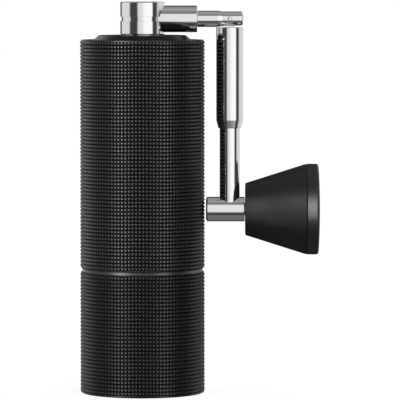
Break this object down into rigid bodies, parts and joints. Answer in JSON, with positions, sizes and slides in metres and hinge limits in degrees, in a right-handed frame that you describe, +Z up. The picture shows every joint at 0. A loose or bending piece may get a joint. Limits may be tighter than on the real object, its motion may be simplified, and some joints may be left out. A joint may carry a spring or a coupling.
{
  "type": "hand crank coffee grinder",
  "caption": "Slim knurled hand coffee grinder with a fold-down crank handle, a turning knob, conical burrs, a grind adjuster and a screw-off catch cup.",
  "frame": {"origin": "centre of the catch cup's flat base, on the grinding axis", "axes": "+Z up the grinding axis, +X towards the side where the folded handle hangs"},
  "size_m": [0.1001, 0.052, 0.1632],
  "materials": {
    "body_black": "black anodised aluminium, knurled",
    "polished_steel": "mirror polished",
    "lid_black": "smooth satin",
    "knob_black": "satin, soft touch",
    "knob_cap_black": "satin moulded",
    "chamber_plastic": "fine moulded",
    "burr_steel": "ground",
    "turned_steel": "turned",
    "bearing_steel": "ground and polished",
    "spring_steel": "drawn wire",
    "dial_aluminium": "fine turned",
    "seal_rubber": "soft silicone",
    "bush_plastic": "acetal"
  },
  "bodies": {
    "grinder_body": {"upper_shell": "body_black", "bean_chamber": "chamber_plastic", "upper_spider": "chamber_plastic", "lower_spider": "chamber_plastic", "upper_bearing_outer_race": "bearing_steel", "upper_bearing_balls": "bearing_steel", "lower_bearing_outer_race": "bearing_steel", "lower_bearing_balls": "bearing_steel", "burr_carrier": "chamber_plastic", "outer_burr": "burr_steel", "burr_screws": "turned_steel"},
    "drive": {"drive_shaft": "turned_steel", "upper_bearing_inner_race": "bearing_steel", "lower_bearing_inner_race": "bearing_steel", "shaft_washer": "turned_steel", "shaft_clip": "spring_steel", "burr_spring": "spring_steel"},
    "inner_burr": {"inner_burr": "burr_steel", "click_plate": "turned_steel"},
    "dial": {"adjuster_dial": "dial_aluminium", "click_balls": "bearing_steel", "click_springs": "spring_steel"},
    "cup_seal": {"cup_seal": "seal_rubber"},
    "catch_cup": {"catch_cup": "body_black"},
    "lid": {"lid": "lid_black", "lid_seal": "seal_rubber", "lid_bush": "bush_plastic"},
    "crank": {"crank_hub": "polished_steel", "hub_clip": "spring_steel", "crank_arm": "polished_steel", "fold_pin": "polished_steel"},
    "lever": {"lever_rod": "polished_steel", "sleeve_spring": "spring_steel", "cross_tube": "polished_steel", "knob_axle": "turned_steel", "knob_washer": "turned_steel", "knob_screw": "turned_steel"},
    "lock_sleeve": {"lock_sleeve": "polished_steel"},
    "knob": {"knob_body": "knob_black", "knob_front_bush": "bush_plastic", "knob_rear_bush": "bush_plastic", "knob_cap": "knob_cap_black"}
  },
  "joints": [
    {"name": "lid_lift", "type": "slide", "parent": "grinder_body", "child": "lid", "axis": [0, 0, 1], "range_m": [0, 0.03]},
    {"name": "crank_spin", "type": "hinge", "parent": "lid", "child": "crank", "pos_m": [0, 0, 0.1561], "axis": [0, 0, -1], "continuous": true},
    {"name": "drive_spin", "type": "hinge", "parent": "grinder_body", "child": "drive", "pos_m": [0, 0, 0.1], "axis": [0, 0, -1], "continuous": true},
    {"name": "handle_fold", "type": "hinge", "parent": "crank", "child": "lever", "pos_m": [0.0364, 0, 0.1561], "axis": [0, -1, 0], "range_deg": [0, 90]},
    {"name": "sleeve_pull", "type": "slide", "parent": "lever", "child": "lock_sleeve", "axis": [0, 0, -1], "range_m": [0, 0.007], "stiffness_N_per_m": 350, "springref_m": -0.008, "deforming": ["sleeve_spring"]},
    {"name": "knob_spin", "type": "hinge", "parent": "lever", "child": "knob", "pos_m": [0.055, 0, 0.0767], "axis": [1, 0, 0], "continuous": true},
    {"name": "burr_slide", "type": "slide", "parent": "drive", "child": "inner_burr", "axis": [0, 0, -1], "range_m": [0, 0.003], "deforming": ["burr_spring"]},
    {"name": "dial_turn", "type": "hinge", "parent": "inner_burr", "child": "dial", "pos_m": [0, 0, 0.038], "axis": [0, 0, -1], "range_deg": [0, 1080]},
    {"name": "cup_drop", "type": "slide", "parent": "grinder_body", "child": "cup_seal", "axis": [0, 0, -1], "range_m": [0, 0.008]},
    {"name": "cup_turn", "type": "hinge", "parent": "cup_seal", "child": "catch_cup", "pos_m": [0, 0, 0.02], "axis": [0, 0, -1], "range_deg": [0, 1440]}
  ],
  "couplings": [
    {"joint": "drive_spin", "follows": "crank_spin", "ratio": 1},
    {"joint": "dial_turn", "follows": "burr_slide", "rad_per_m": 6283.2},
    {"joint": "cup_drop", "follows": "cup_turn", "m_per_rad": 0.0003183}
  ]
}
